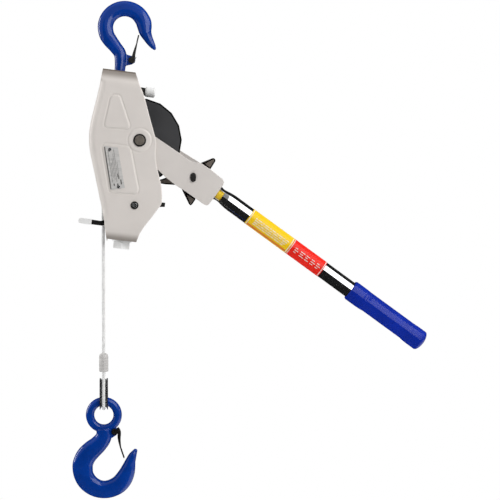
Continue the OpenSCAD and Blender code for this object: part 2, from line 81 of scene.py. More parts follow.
lens_data = bpy.data.cameras.new("camera")
lens_data.sensor_width = sensor_width
lens_data.lens = sensor_width * view_distance / view_width
lens_data.dof.use_dof = False
camera = bpy.data.objects.new("camera", lens_data)
camera.rotation_euler = (math.radians(90) - view_above, 0, -view_left)
camera.location = view_centre + camera.rotation_euler.to_matrix() @ Vector((0, 0, view_distance))
bpy.context.scene.collection.objects.link(camera)
bpy.context.scene.camera = camera

# ---- axes of the moving groups, in millimetres ----

MM = 0.001
lean = math.radians(7)
handle_drop = math.radians(35.5)
tube_dip = math.radians(0.65)
shaft_low, shaft_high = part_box("drum_shaft")
shaft = (shaft_low + shaft_high) / 2 / MM
rope_x = -26.5
eye_z = -476.2
tube_start = (111, 0, 2.8)
swivel_at = (-33.4, 0, 130)


def axes(origin, drop=0.0):
    """From a group's own millimetres to the row frame's metres."""
    return Matrix.Scale(MM, 4) @ Matrix.Translation(origin) @ Matrix.Rotation(drop, 4, "Y")


FRAME = axes(shaft, lean)
YOKE = axes(shaft, handle_drop)
TUBE = YOKE @ Matrix.Translation(tube_start) @ Matrix.Rotation(tube_dip, 4, "Y")
DRUM = axes(shaft)
ANCHOR = FRAME @ Matrix.Translation(swivel_at)
LOAD = axes(Vector((rope_x, 0, eye_z)))
WORLD = axes(Vector((0, 0, 0)))

# ---- cord route, in metres ----

rope_d = 0.004
rope_route = [
    (-0.0265, 0, -0.148), (-0.0265, 0, -0.170), (-0.0265, 0, -0.195), (-0.0265, 0, -0.220),
    (-0.0265, 0, -0.245), (-0.0265, 0, -0.270), (-0.0265, 0, -0.295), (-0.0265, 0, -0.320),
    (-0.0265, 0, -0.345), (-0.0265, 0, -0.370), (-0.0265, 0, -0.385), (-0.0265, 0, -0.402),
]

# ---- materials ----


class Graph:
    """A material's node tree, built one node at a time."""

    def __init__(self, name):
        self.material = bpy.data.materials.new(name)
        self.material.use_nodes = True
        self.nodes = self.material.node_tree.nodes
        self.links = self.material.node_tree.links
        self.shader = self.nodes["Principled BSDF"]
        self.place = self.nodes.new("ShaderNodeTexCoord").outputs["Object"]

    def link(self, source, target):
        self.links.new(source, target)

    def stretched(self, scale):
        node = self.nodes.new("ShaderNodeMapping")
        node.inputs["Scale"].default_value = scale
        self.link(self.place, node.inputs["Vector"])
        return node.outputs["Vector"]

    def noise(self, scale, detail=4.0, stretch=None):
        node = self.nodes.new("ShaderNodeTexNoise")
        node.inputs["Scale"].default_value = scale
        node.inputs["Detail"].default_value = detail
        self.link(self.stretched(stretch) if stretch else self.place, node.inputs["Vector"])
        return node.outputs["Fac"]

    def ranged(self, value, low, high, start=0.3, end=0.7):
        node = self.nodes.new("ShaderNodeMapRange")
        node.inputs["From Min"].default_value = start
        node.inputs["From Max"].default_value = end
        node.inputs["To Min"].default_value = low
        node.inputs["To Max"].default_value = high
        self.link(value, node.inputs["Value"])
        return node.outputs["Result"]

    def mixed(self, factor, a, b):
        node = self.nodes.new("ShaderNodeMix")
        node.data_type = "RGBA"
        self.link(factor, node.inputs[0])
        for socket, colour in ((node.inputs[6], a), (node.inputs[7], b)):
            if isinstance(colour, bpy.types.NodeSocket):
                self.link(colour, socket)
            else:
                socket.default_value = (*colour, 1)
        return node.outputs[2]

    def bump(self, height, strength, distance):
        node = self.nodes.new("ShaderNodeBump")
        node.inputs["Strength"].default_value = strength
        node.inputs["Distance"].default_value = distance
        self.link(height, node.inputs["Height"])
        self.link(node.outputs["Normal"], self.shader.inputs["Normal"])


def shade(colour, k):
    """A colour made darker or lighter, and never past white."""
    return tuple(min(1.0, c * k) for c in colour)


def finish_of(name, colour, metallic, rough, vary=0.12, patch=60, grain=1500, bump=0.10,
              depth=0.0001, coat=0.0, stretch=None, painted_shade=None, gloss=0.5):
    """A painted or metal surface: patchy tone, uneven gloss and fine grain.

    A darker tone can be given as painted shade; it is laid where the mesh marks shade.
    """
    g = Graph(name)
    tone = g.mixed(g.ranged(g.noise(patch, 6, stretch), 0, 1), shade(colour, 1 - vary),
                   shade(colour, 1 + vary))
    if painted_shade:
        # painted shade: the mesh's shade marks mix in the darker tone
        marked = g.nodes.new("ShaderNodeAttribute")
        marked.attribute_name = "painted_shade"
        tone = g.mixed(marked.outputs["Fac"], tone, painted_shade)
    g.link(tone, g.shader.inputs["Base Color"])
    g.link(g.ranged(g.noise(patch * 3, 5, stretch), rough * 0.8, rough * 1.25),
           g.shader.inputs["Roughness"])
    g.shader.inputs["Metallic"].default_value = metallic
    g.shader.inputs["Specular IOR Level"].default_value = gloss
    g.shader.inputs["Coat Weight"].default_value = coat
    g.shader.inputs["Coat Roughness"].default_value = 0.08
    g.bump(g.noise(grain, 3, stretch), bump, depth)
    return g.material


# Each finish: colour, metallic, roughness, tone change, patch scale, grain scale, bump, bump depth.
PAINT = {
    "blue_enamel": finish_of("blue_enamel", (0.0, 0.040, 0.30), 0.0, 0.24, 0.15, 45, 420, 0.10,
                             0.0002, coat=1.0, gloss=0.1),
    # frame_paint's dark brown second tone is painted shade for the frame plates' bent ends
    "frame_paint": finish_of("frame_paint", (0.77, 0.720, 0.680), 0.0, 0.42, 0.03, 30, 2200, 0.08,
                             0.00005, painted_shade=(0.15, 0.120, 0.095)),
    "yoke_paint": finish_of("yoke_paint", (0.73, 0.685, 0.650), 0.0, 0.42, 0.03, 30, 2000, 0.08,
                            0.00005),
    "block_metal": finish_of("block_metal", (0.20, 0.19, 0.18), 0.9, 0.45, 0.15, 70, 1200),
    "dark_steel": finish_of("dark_steel", (0.016, 0.015, 0.014), 0.3, 0.34, 0.25, 80, 1200),
    "wheel_black": finish_of("wheel_black", (0.046, 0.046, 0.049), 0.2, 0.36, 0.22, 18, 900),
    "zinc_steel": finish_of("zinc_steel", (0.62, 0.63, 0.64), 1.0, 0.24, 0.10, 120, 1500, 0.12),
    "bronze": finish_of("bronze", (0.150, 0.125, 0.105), 0.5, 0.36, 0.20, 90, 1300, 0.14),
    "wire_rope": finish_of("wire_rope", (0.50, 0.50, 0.49), 0.9, 0.36, 0.18, 300, 2500, 0.2),
    "spring_steel": finish_of("spring_steel", (0.32, 0.32, 0.33), 1.0, 0.30, 0.15, 200, 1500),
    "chrome_tube": finish_of("chrome_tube", (0.78, 0.79, 0.80), 1.0, 0.075, 0.03, 60, 700, 0.03,
                             0.00005),
    "yellow_nylon": finish_of("yellow_nylon", (0.98, 0.62, 0.015), 0.0, 0.45, 0.12, 150, 1500),
    "yellow_label": finish_of("yellow_label", (0.98, 0.62, 0.004), 0.0, 0.34, 0.04, 60, 900, 0.06,
                              coat=0.25, gloss=0.2),
    "red_label": finish_of("red_label", (0.92, 0.016, 0.006), 0.0, 0.34, 0.08, 60, 900, 0.06,
                           coat=0.25, gloss=0.2),
    "blue_vinyl": finish_of("blue_vinyl", (0.003, 0.024, 0.36), 0.0, 0.26, 0.15, 40, 600, 0.10,
                            0.0001, coat=0.45, gloss=0.1),
    # Plated parts painted near-white and matt: pale plating, plus a painted reflection of the white
    # surroundings.
    "plating_and_painted_reflection": finish_of("plating_and_painted_reflection", (0.90, 0.90, 0.89), 0.0, 0.32, 0.04, 120, 1500, 0.08),
    "pawl_face": finish_of("pawl_face", (0.150, 0.125, 0.105), 0.0, 0.5, 0.20, 70, 1100, 0.2),
    # painted light: the drum's wire rope again, pale and matt for the fall and eye, where the turns on the
    # drum use the darker metal
    "rope_with_painted_light": finish_of("rope_with_painted_light", (0.86, 0.86, 0.85), 0.0, 0.40, 0.10, 300, 2500, 0.2,
                             gloss=0.3),
    "shaft_end": finish_of("shaft_end", (0.24, 0.21, 0.18), 0.6, 0.34, 0.30, 160, 1500),
    # painted shade: near-black for the broken edges of the drum spool and the operating pawl
    "painted_edge_shade": finish_of("painted_edge_shade", (0.003, 0.003, 0.003), 0.0, 0.6, 0.2, 120, 1500, gloss=0.0),
    "plate_metal": finish_of("plate_metal", (0.60, 0.585, 0.57), 0.0, 0.40, 0.12, 90, 1500,
                             stretch=(1, 1, 6)),
    "label_mark": finish_of("label_mark", (0.86, 0.84, 0.78), 0.0, 0.4, 0.05, 90, 900),
    # painted shade: orange for the shaded lower side of the yellow sleeve
    "label_painted_shade": finish_of("label_painted_shade", (0.80, 0.20, 0.02), 0.0, 0.35, 0.10, 90, 900),
    # near-black for the data plate's print, and for the painted shadow along its left edge
    "dark_print_and_shadow": finish_of("dark_print_and_shadow", (0.10, 0.095, 0.09), 0.2, 0.45, 0.2, 90, 900),
}

# ---- mesh helpers ----


def smooth_step(low, high, x):
    """0 below low, 1 above high, and a smooth rise between them."""
    t = np.clip((np.asarray(x, float) - low) / (high - low), 0, 1)
    return t * t * (3 - 2 * t)


def curve(points, steps):
    """A smooth curve through points, with that many steps between two of them."""
    p = np.asarray(points, float)
    before = np.vstack([p[:1], p[:-2], p[-3:-2]])[: len(p) - 1]
    after = np.vstack([p[2:], p[-1:]])
    t = (np.arange(steps) / steps)[None, :, None]
    a, b, c, d = (q[:, None] for q in (before, p[:-1], p[1:], after))
    mid = 0.5 * (2 * b + (c - a) * t + (2 * a - 5 * b + 4 * c - d) * t**2
                 + (3 * b - a - 3 * c + d) * t**3)
    return np.vstack([mid.reshape(-1, p.shape[1]), p[-1:]])


def grid_faces(rows, columns, wrap=True, caps=True):
    """Quads over rows of vertices; a wrapped grid is a tube, with a cap at each end."""
    faces = [(i * columns + k, i * columns + (k + 1) % columns,
              (i + 1) * columns + (k + 1) % columns, (i + 1) * columns + k)
             for i in range(rows - 1) for k in range(columns if wrap else columns - 1)]
    if caps and wrap:
        faces.append(tuple(reversed(range(columns))))
        faces.append(tuple(range((rows - 1) * columns, rows * columns)))
    return faces


def object_of(name, verts, faces, place, paint, sharp=35):
    """A mesh object from a group's own millimetres; paint is one finish or a list of them."""
    v = np.asarray(verts, float).reshape(-1, 3)
    m = np.array(place, float)
    mesh = bpy.data.meshes.new(name)
    mesh.from_pydata((v @ m[:3, :3].T + m[:3, 3]).tolist(), [], faces)
    fixed = bmesh.new()
    fixed.from_mesh(mesh)
    bmesh.ops.recalc_face_normals(fixed, faces=fixed.faces)
    fixed.to_mesh(mesh)
    fixed.free()
    mesh.polygons.foreach_set("use_smooth", [True] * len(mesh.polygons))
    mesh.set_sharp_from_angle(angle=math.radians(sharp))
    for p in [paint] if isinstance(paint, str) else paint:
        mesh.materials.append(PAINT[p])
    obj = bpy.data.objects.new(name, mesh)
    bpy.context.scene.collection.objects.link(obj)
    return obj


def stand_in(obj, node, *more):
    """obj is shown for that CAD node, with its body."""
    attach(obj, frame["nodes"][node]["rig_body"])
    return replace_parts(obj, node, *more)


def beside(obj, node):
    """obj goes with that CAD node's body, and replaces nothing."""
    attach(obj, frame["nodes"][node]["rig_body"])
    return obj


def bevelled(obj, width, segments=2, angle=30):
    """The object with its sharp edges broken."""
    made = obj.modifiers.new("edges", "BEVEL")
    made.width = width * MM
    made.segments = segments
    made.limit_method = "ANGLE"
    made.angle_limit = math.radians(angle)
    made.harden_normals = True
    return obj


def applied(obj):
    """The object with its modifiers made into plain mesh."""
    seen = obj.evaluated_get(bpy.context.evaluated_depsgraph_get())
    mesh = bpy.data.meshes.new_from_object(seen)
    obj.modifiers.clear()
    obj.data = mesh
    return obj


def dressed(node, width=0.35, angle=30, paint=None, edge=None):
    """A CAD node's own shape with its flat faces joined up and its edges broken.

    paint and edge are finishes other than the node's own, for its faces and for its broken edges.
    """
    work = bmesh.new()
    work.from_mesh(frame["nodes"][node].data)
    bmesh.ops.remove_doubles(work, verts=work.verts, dist=2e-6)
    bmesh.ops.dissolve_limit(work, angle_limit=math.radians(0.8), verts=work.verts,
                             edges=work.edges)
    work.verts.index_update()
    verts = [tuple(v.co) for v in work.verts]
    faces = [tuple(v.index for v in f.verts) for f in work.faces]
    work.free()
    paints = [paint or SLOT_OF[node]] + ([edge] if edge else [])
    obj = bevelled(object_of(node + "_detail", verts, faces, Matrix.Identity(4), paints), width, 2, angle)
    if edge:
        obj.modifiers["edges"].material = 1
        obj.modifiers["edges"].use_clamp_overlap = False
    return stand_in(obj, node)


def swept(points, outs, sections):
    """Vertices and faces of sections of [out, across] carried along points."""
    p = np.asarray(points, float)
    tangent = np.gradient(p, axis=0)
    tangent /= np.linalg.norm(tangent, axis=1)[:, None]
    out = np.asarray(outs, float) * np.ones_like(p)
    out = out - (out * tangent).sum(1)[:, None] * tangent
    out /= np.linalg.norm(out, axis=1)[:, None]
    across = np.cross(tangent, out)
    s = np.asarray(sections, float)
    s = np.broadcast_to(s, (len(p), *s.shape[-2:]))
    verts = p[:, None] + s[..., :1] * out[:, None] + s[..., 1:] * across[:, None]
    return verts.reshape(-1, 3), grid_faces(len(p), s.shape[1])


def lathe(profile, sides=96):
    """A solid of revolution about X from [x, radius] pairs."""
    p = np.asarray(profile, float)
    a = np.linspace(0, 2 * math.pi, sides, endpoint=False)
    verts = np.stack([np.repeat(p[:, :1], sides, 1), p[:, 1:] * np.cos(a), p[:, 1:] * np.sin(a)], -1)
    return verts.reshape(-1, 3), grid_faces(len(p), sides)


def circle_section(r, sides):
    """A round section, as [out, across] points."""
    a = np.linspace(0, 2 * math.pi, sides, endpoint=False)
    return np.stack([r * np.cos(a), r * np.sin(a)], 1)


def strand_sections(distance, r, lay=26.0, strands=6, sides=36):
    """Sections of a laid wire rope: strands round a core, turning once in each lay."""
    a = np.linspace(0, 2 * math.pi, sides, endpoint=False)[None]
    turn = (np.asarray(distance, float) / lay * 2 * math.pi)[:, None]
    radius = r * (0.80 + 0.20 * np.abs(np.cos(strands / 2 * (a - turn))) ** 0.55)
    return np.stack([radius * np.cos(a), radius * np.sin(a)], -1)


def lengths(points):
    """How far along its line each point is."""
    steps = np.linalg.norm(np.diff(np.asarray(points, float), axis=0), axis=1)
    return np.concatenate([[0], np.cumsum(steps)])


def joined(parts, name, paint, place, voxel, passes):
    """Forged parts melted into one skin with soft fillets between them."""
    verts, faces = [], []
    for v, f in parts:
        base = sum(len(x) for x in verts)
        verts.append(np.asarray(v, float))
        faces += [tuple(i + base for i in q) for q in f]
    obj = object_of(name, np.vstack(verts), faces, place, paint)
    skin = obj.modifiers.new("skin", "REMESH")
    skin.mode = "VOXEL"
    skin.voxel_size = voxel * MM
    skin.use_smooth_shade = True
    soft = obj.modifiers.new("soft", "SMOOTH")
    soft.factor = 0.5
    soft.iterations = passes
    applied(obj)
    obj.data.polygons.foreach_set("use_smooth", [True] * len(obj.data.polygons))
    return obj


def slab(outline, y0, y1):
    """A profile in the XZ plane between two depths."""
    n = len(outline)
    verts = [(x, y, z) for y in (y0, y1) for x, z in outline]
    return verts, grid_faces(2, n)


# ---- hooks ----


def forged(line, thick, steps=8, sides=40, tip=7):
    """A bar along [x, z, half width] points, flattened, with a rounded point."""
    p = curve(line, steps)
    ahead = p[-1, :2] - p[-2, :2]
    ahead /= np.linalg.norm(ahead)
    end = p[-1].copy()
    caps = [[*(end[:2] + ahead * end[2] * math.sin(a)), end[2] * math.cos(a)]
            for a in np.linspace(0, math.radians(84), tip)[1:]]
    p = np.vstack([p, caps])
    a = np.linspace(0, 2 * math.pi, sides, endpoint=False)
    u = np.sign(np.cos(a)) * np.abs(np.cos(a)) ** 0.88
    v = np.sign(np.sin(a)) * np.abs(np.sin(a)) ** 0.88
    flat = np.minimum(p[:, 2], thick)
    sections = np.stack([p[:, 2:] * u, flat[:, None] * v], -1)
    points = np.stack([p[:, 0], 0 * p[:, 0], p[:, 1]], 1)
    tangent = np.gradient(points, axis=0)
    outs = np.stack([-tangent[:, 2], 0 * tangent[:, 0], tangent[:, 0]], 1)
    return swept(points, outs, sections)


anchor_line = (
    [(0, -50, 6.3), (-0.4, -42, 6.6), (-2, -31, 7.4), (-8.3, -23.6, 7.7), (-15.1, -16.9, 8.6),
     (-20.5, -10, 9), (-23.2, 0, 9.2)]
    + [(23.4 * math.cos(math.radians(a)), 23.4 * math.sin(math.radians(a)), 9.2)
       for a in range(155, 29, -25)]
    + [(22.6, 6, 8.9), (24.6, -1, 7.5), (28, -7, 5.8), (32, -12.5, 4.6), (35.6, -16.8, 3.4),
       (37.8, -19.4, 2)]
)
load_line = [
    (-0.6, -17, 8.2), (-0.6, -27, 9.6), (-7, -35.6, 10.6), (-14.6, -42.2, 11.6),
    (-21.2, -49.4, 12.1), (-25.1, -57.8, 12.2), (-25.6, -64.8, 12.2), (-24.4, -72.4, 11.8),
    (-20.6, -79.5, 11.6), (-15.5, -84.6, 11.2), (-9.8, -88, 10.9), (-4, -89.8, 10.6),
    (2, -90.1, 10.6), (8, -89, 10.7), (14.8, -86, 10.8), (19.9, -82, 10.7), (24, -76.6, 10.4),
    (27.4, -70, 9.4), (29.8, -62.9, 7.9), (32, -55.4, 6), (34.6, -49, 4.6), (37.6, -43.6, 2.6),
]
anchor_latch_pin = (12.7, -36.5)
load_latch_pin = (13, -20)
ring_r, ring_bar = 16.5, 5.1
lug_t = 6
skin_voxel = 0.6
skin_passes = 6

shank = swept([(0, 0, z) for z in (-86.4, -86, -50, -44)], (1, 0, 0),
              [circle_section(r, 40) for r in (5.6, 6.3, 6.3, 6.0)])
anchor_lug = slab([(0, -29), (8, -31), (14, -31.8), (17, -35), (16.6, -39), (13, -41.6), (6, -44),
                   (0, -44)], -lug_t / 2, lug_t / 2)
anchor_hook = joined([forged(anchor_line, 7.2), shank, anchor_lug], "anchor_hook_forging",
                     "blue_enamel", ANCHOR, skin_voxel, skin_passes)
stand_in(anchor_hook, "anchor_hook")

turn = np.linspace(0, 2 * math.pi, 97)
ring = swept(np.stack([ring_r * np.cos(turn), 0 * turn, ring_r * np.sin(turn)], 1),
             np.stack([np.cos(turn), 0 * turn, np.sin(turn)], 1), circle_section(ring_bar, 32))
load_lug = slab([(6, -14), (12, -15.6), (16.4, -17), (17.4, -20.6), (15, -24.4), (9, -28),
                 (2, -26)], -lug_t / 2, lug_t / 2)
load_hook = joined([ring, forged(load_line, 8), load_lug], "load_hook_forging", "blue_enamel",
                   LOAD, skin_voxel, skin_passes)
stand_in(load_hook, "load_hook")


# ---- latches and coil springs ----


def latch(name, place, node, pin, spine, half=4.6, gauge=1.2, ear_r=4):
    """A channel pressed from spring plate: two ears on the pin, and a back toward the hook's point."""
    s = curve(spine, 6)
    tangent = np.gradient(s, axis=0)
    tangent /= np.linalg.norm(tangent, axis=1)[:, None]
    normal = np.stack([-tangent[:, 1], tangent[:, 0]], 1)
    share = np.linspace(0, 1, len(s))
    flange = 3.4 * (1 - smooth_step(0.35, 0.9, share))
    width = half - 1.2 * smooth_step(0.7, 1.0, share)
    rows = []
    for q, n, f, w in zip(s, normal, flange, width):
        down = (f * n[0], f * n[1])
        rows.append([(q[0] + down[0], -w, q[1] + down[1]), (q[0] + 0.3 * n[0], -w, q[1] + 0.3 * n[1]),
                     (q[0], -w + 0.7, q[1]), (q[0] - 0.15 * n[0], 0, q[1] - 0.15 * n[1]),
                     (q[0], w - 0.7, q[1]), (q[0] + 0.3 * n[0], w, q[1] + 0.3 * n[1]),
                     (q[0] + down[0], w, q[1] + down[1])])
    back = object_of(name + "_back", [v for r in rows for v in r],
                     grid_faces(len(rows), 7, wrap=False), place, SLOT_OF[node], 60)
    thick = back.modifiers.new("gauge", "SOLIDIFY")
    thick.thickness = gauge * MM
    thick.offset = 0
    bevelled(back, 0.2, 2, 50)
    stand_in(back, node)
    for side in (-1, 1):
        y = side * (half - gauge / 2)
        a = np.linspace(0, 2 * math.pi, 40, endpoint=False)
        ear = [(pin[0] + ear_r * math.cos(t), pin[1] + ear_r * math.sin(t)) for t in a]
        plate = object_of(f"{name}_ear_{'near' if side < 0 else 'far'}",
                          *slab(ear, y - gauge / 2, y + gauge / 2), place, SLOT_OF[node])
        beside(bevelled(plate, 0.25), node)


latch("anchor_latch", ANCHOR, "anchor_latch", anchor_latch_pin,
      [(13.4, -39.6), (15.6, -36), (15.4, -29), (16.2, -16), (17.3, -6)])
latch("load_latch", LOAD, "load_latch", load_latch_pin,
      [(14.6, -17.4), (16.8, -21), (17.2, -29), (20, -40), (24, -52)])


def coil_spring(name, place, node, pin, r, wire, y0, y1, turns, leg, angle):
    """A torsion spring about a pin along Y, with one straight leg at the end of its coil."""
    n = int(turns * 36)
    a = np.linspace(0, turns * 2 * math.pi, n) + math.radians(angle)
    y = np.linspace(y0 + wire, y1 - wire, n)
    line = np.stack([pin[0] + r * np.cos(a), y, pin[1] + r * np.sin(a)], 1)
    along = np.array([-math.sin(a[-1]), 0, math.cos(a[-1])])
    legs = [line[-1] + along * d for d in np.linspace(leg / 6, leg, 6)]
    line = np.vstack([line, legs])
    outs = np.stack([np.cos(a), 0 * a, np.sin(a)], 1)
    outs = np.vstack([outs, np.repeat(outs[-1:], 6, 0)])
    v, f = swept(line, outs, circle_section(wire, 12))
    return stand_in(object_of(name, v, f, place, SLOT_OF[node], 60), node)


hold_pin = (-21, 55.5)
trip_pin = (3.1, -77.2)
pawl_pin = (77, 1)
coil_spring("anchor_latch_coil", ANCHOR, "anchor_latch_spring", anchor_latch_pin, 2.7, 0.42, 4.9, 7.2,
            2.5, 6, 160)
coil_spring("load_latch_coil", LOAD, "load_latch_spring", load_latch_pin, 2.7, 0.42, 5.0, 8.2, 3.25,
            7, 20)
coil_spring("holding_pawl_coil", FRAME, "holding_pawl_spring", hold_pin, 3.6, 0.6, 4.6, 9.8, 3.75,
            8, 0)
coil_spring("trip_lever_coil", FRAME, "trip_lever_spring", trip_pin, 4.1, 0.6, -9.7, 0, 6.5, 9, 200)
coil_spring("operating_pawl_coil", YOKE, "operating_pawl_spring", pawl_pin, 9.5, 0.7, -8, 6, 8.25,
            12, 0)

# ---- frame plates ----

outer_y = 21.6
plate_t = 3.0
crease_top, crease_low, top_z, low_z = 66, -110, 79, -120.6
bend = math.tan(math.radians(27))
left_edge = [(-24.8, low_z), (-27.5, crease_low), (-31.5, -96), (-35.7, -83), (-39.6, -72),
             (-43.5, -60), (-48.6, -45), (-53.4, -31), (-56.6, -21), (-59, -11), (-60.5, 2),
             (-60.2, 14), (-58.4, 30), (-56, 48), (-54.2, crease_top), (-53.2, top_z)]
right_edge = [(10.4, low_z), (13.2, crease_low), (18.8, -99), (24.5, -90), (31, -78.5), (34, -73.5),
              (34.7, -68), (33.4, -58), (31.1, -48), (27.5, -38.5), (23.5, -27), (20.8, -15),
              (20, -3), (18.1, 5), (9.2, 27), (-0.8, 52), (-8.3, crease_top), (-14.4, top_z)]
upper_pad = [(-43.2, 15), (-39.8, 46), (-37.4, 48.8), (-31.4, 49.4), (-29, 48), (-14, 16),
             (-14.5, 13), (-17, 11.6), (-40, 10.4), (-42.6, 11.6)]
lower_pad = [(-42.8, -14), (-40.8, -9.8), (-38, -9), (-13.4, -9), (-9.4, -11.4), (5.4, -58),
             (4.4, -62), (1, -63.6), (-25, -65.2), (-28, -64)]
boss_r = 13.8
boss_lift = 0.7
boss_groove = 0.35
pad_lift = 0.7
pad_groove = 0.5
rim_r = 8.0
rim_wall = 4.0
rim_foot, rim_head = (-100, -84), (62, 67)
right_round = 1.0
fold_soft = 1.6
plate_rows, plate_columns = 262, 118


def depth_inside(outline, x, z):
    """How far a point lies inside a closed outline; negative outside."""
    p = np.asarray(outline, float)
    q = np.roll(p, -1, axis=0)
    best = np.full(x.shape, 1e9)
    inside = np.zeros(x.shape, bool)
    for (ax, az), (bx, bz) in zip(p, q):
        ex, ez = bx - ax, bz - az
        t = np.clip(((x - ax) * ex + (z - az) * ez) / (ex * ex + ez * ez), 0, 1)
        best = np.minimum(best, np.hypot(x - ax - t * ex, z - az - t * ez))
        crosses = (az > z) != (bz > z)
        with np.errstate(divide="ignore", invalid="ignore"):
            inside ^= crosses & (x < ax + (z - az) * ex / (ez if ez else 1e-9))
    return np.where(inside, best, -best)


def soft_ramp(t, w):
    """0 below 0 and t above it, with the corner rounded over about w."""
    return w * np.logaddexp(0, t / w)


def stamped_plate(name, side, node):
    """A pressed plate: bent ends, a rolled left rim, raised pads and a raised boss, with painted shade on
    the bent ends.
    """
    main_left = curve(left_edge[1:-1], 4)
    main_right = curve(right_edge[1:-1], 4)
    z = np.unique(np.concatenate([np.linspace(low_z, top_z, plate_rows), [crease_low, crease_top]]))
    left = np.interp(z, [low_z, *main_left[:, 1], top_z],
                     [left_edge[0][0], *main_left[:, 0], left_edge[-1][0]])
    right = np.interp(z, [low_z, *main_right[:, 1], top_z],
                      [right_edge[0][0], *main_right[:, 0], right_edge[-1][0]])
    rim = smooth_step(*rim_foot, z) * (1 - smooth_step(*rim_head, z))
    arc = np.linspace(0, math.pi / 2, 11)
    flat = np.linspace(0, 1, plate_columns)[1:]
    x_cols, drop_cols = [], []
    for d in (rim_wall, rim_wall / 2):
        x_cols.append(left + 0 * z)
        drop_cols.append((rim_r + d) * rim)
    for a in arc:
        x_cols.append(left + rim_r * (1 - math.cos(a)))
        drop_cols.append(rim_r * (1 - math.sin(a)) * rim)
    for s in flat:
        x_cols.append(left + rim_r + s * (right - left - rim_r - right_round))
        drop_cols.append(0 * z)
    for share in (0.33, 0.66, 1.0):
        x_cols.append(right - right_round + share * right_round)
        drop_cols.append(0.75 * share**1.6 + 0 * z)
    x = np.stack(x_cols, 1)
    zz = np.repeat(z[:, None], x.shape[1], 1)
    drop = np.stack(drop_cols, 1) + bend * (soft_ramp(zz - crease_top, fold_soft)
                                            + soft_ramp(crease_low - zz, fold_soft))
    lift = 0 * x
    for pad in (upper_pad, lower_pad):
        inside = depth_inside(pad, x, zz)
        lift += pad_lift * smooth_step(-0.4, 0.9, inside)
        lift -= pad_groove * np.exp(-((inside + 1.0) / 0.7) ** 2)
    from_shaft = np.hypot(x, zz)
    boss = smooth_step(0, 1.2, boss_r - from_shaft) * boss_lift
    ring_groove = boss_groove * np.exp(-((from_shaft - boss_r - 0.7) / 0.6) ** 2)
    over = from_shaft < boss_r + 0.2
    y = side * (outer_y - drop + np.where(over, boss, lift - ring_groove))
    verts = np.stack([x, y, zz], -1).reshape(-1, 3)
    rows, cols = x.shape
    faces = grid_faces(rows, cols, wrap=False)
    if side > 0:
        faces = [tuple(reversed(q)) for q in faces]
    mesh = bpy.data.meshes.new(name)
    m = np.array(FRAME, float)
    mesh.from_pydata((verts @ m[:3, :3].T + m[:3, 3]).tolist(), [], faces)
    mesh.materials.append(PAINT["frame_paint"])
    # Painted shade: the bent ends darken toward their edges, and a near-black line at the very ends paints
    # the shade where the plate turns away.
    past = np.maximum(zz - crease_top, crease_low - zz) / (top_z - crease_top)
    painted_shade = 0.72 * smooth_step(0.0, 0.75, past) + 0.28 * smooth_step(0.82, 0.95, past)
    mesh.attributes.new("painted_shade", "FLOAT", "POINT").data.foreach_set("value", painted_shade.ravel())
    obj = bpy.data.objects.new(name, mesh)
    bpy.context.scene.collection.objects.link(obj)
    thick = obj.modifiers.new("gauge", "SOLIDIFY")
    thick.thickness = plate_t * MM
    thick.offset = -1
    thick.use_even_offset = True
    applied(obj)
    obj.data.polygons.foreach_set("use_smooth", [True] * len(obj.data.polygons))
    obj.data.set_sharp_from_angle(angle=math.radians(50))
    return stand_in(obj, node)


stamped_plate("near_frame_stamping", -1, "near_frame_plate")
stamped_plate("far_frame_stamping", 1, "far_frame_plate")


# ---- marks that stand for print, with painted shade and a painted shadow ----

mark_t = 0.06
plate_face = 1.31


def marks_on_plate(name, rows, place, y, paint, node):
    """Thin raised bars on a flat plate, as [x0, z0, x1, z1, width]: generic print, and a painted shadow.
    """
    verts, faces = [], []
    for x0, z0, x1, z1, w in rows:
        d = np.array([x1 - x0, z1 - z0]) / math.hypot(x1 - x0, z1 - z0)
        n = np.array([-d[1], d[0]]) * w / 2
        base = len(verts)
        for yy in (y, y - mark_t):
            for cx, cz in ((x0 - n[0], z0 - n[1]), (x1 - n[0], z1 - n[1]), (x1 + n[0], z1 + n[1]),
                           (x0 + n[0], z0 + n[1])):
                verts.append((cx, yy, cz))
        faces += [(base, base + 1, base + 2, base + 3), (base + 7, base + 6, base + 5, base + 4)]
        faces += [(base + k, base + (k + 1) % 4, base + 4 + (k + 1) % 4, base + 4 + k)
                  for k in range(4)]
    return beside(object_of(name, verts, faces, place, paint), node)


plate_low_left = np.array([-27, -62.4])
plate_up = np.array([-41, -12]) - plate_low_left
plate_right = np.array([-10.6, -58]) - plate_low_left


def plate_bar(side, low, high, width):
    """A bar up the data plate, placed by shares of the plate's width and height."""
    ends = [plate_low_left + plate_up * share + plate_right * side for share in (low, high)]
    return (*ends[0], *ends[1], width)


print_and_shadow_bars = [plate_bar(0.22 + 0.10 * k, 0.16 + 0.05 * ((k * 2) % 3), 0.90 - 0.10 * ((k * 3) % 4), 0.35)
               for k in range(6)]
# The last bar, dark down the plate's left edge, is a painted shadow; the other bars stand for print.
print_and_shadow_bars += [plate_bar(0.30, 0.86, 0.93, 1.5), plate_bar(0.30, 0.08, 0.13, 1.3),
                plate_bar(0.55, 0.06, 0.12, 1.4), plate_bar(0.80, 0.09, 0.20, 1.3),
                plate_bar(0.66, 0.22, 0.34, 0.9), plate_bar(0.03, 0.02, 0.98, 1.1)]
marks_on_plate("data_plate_marks_and_shadow", print_and_shadow_bars, FRAME, -outer_y - plate_face, "dark_print_and_shadow",
               "data_plate")


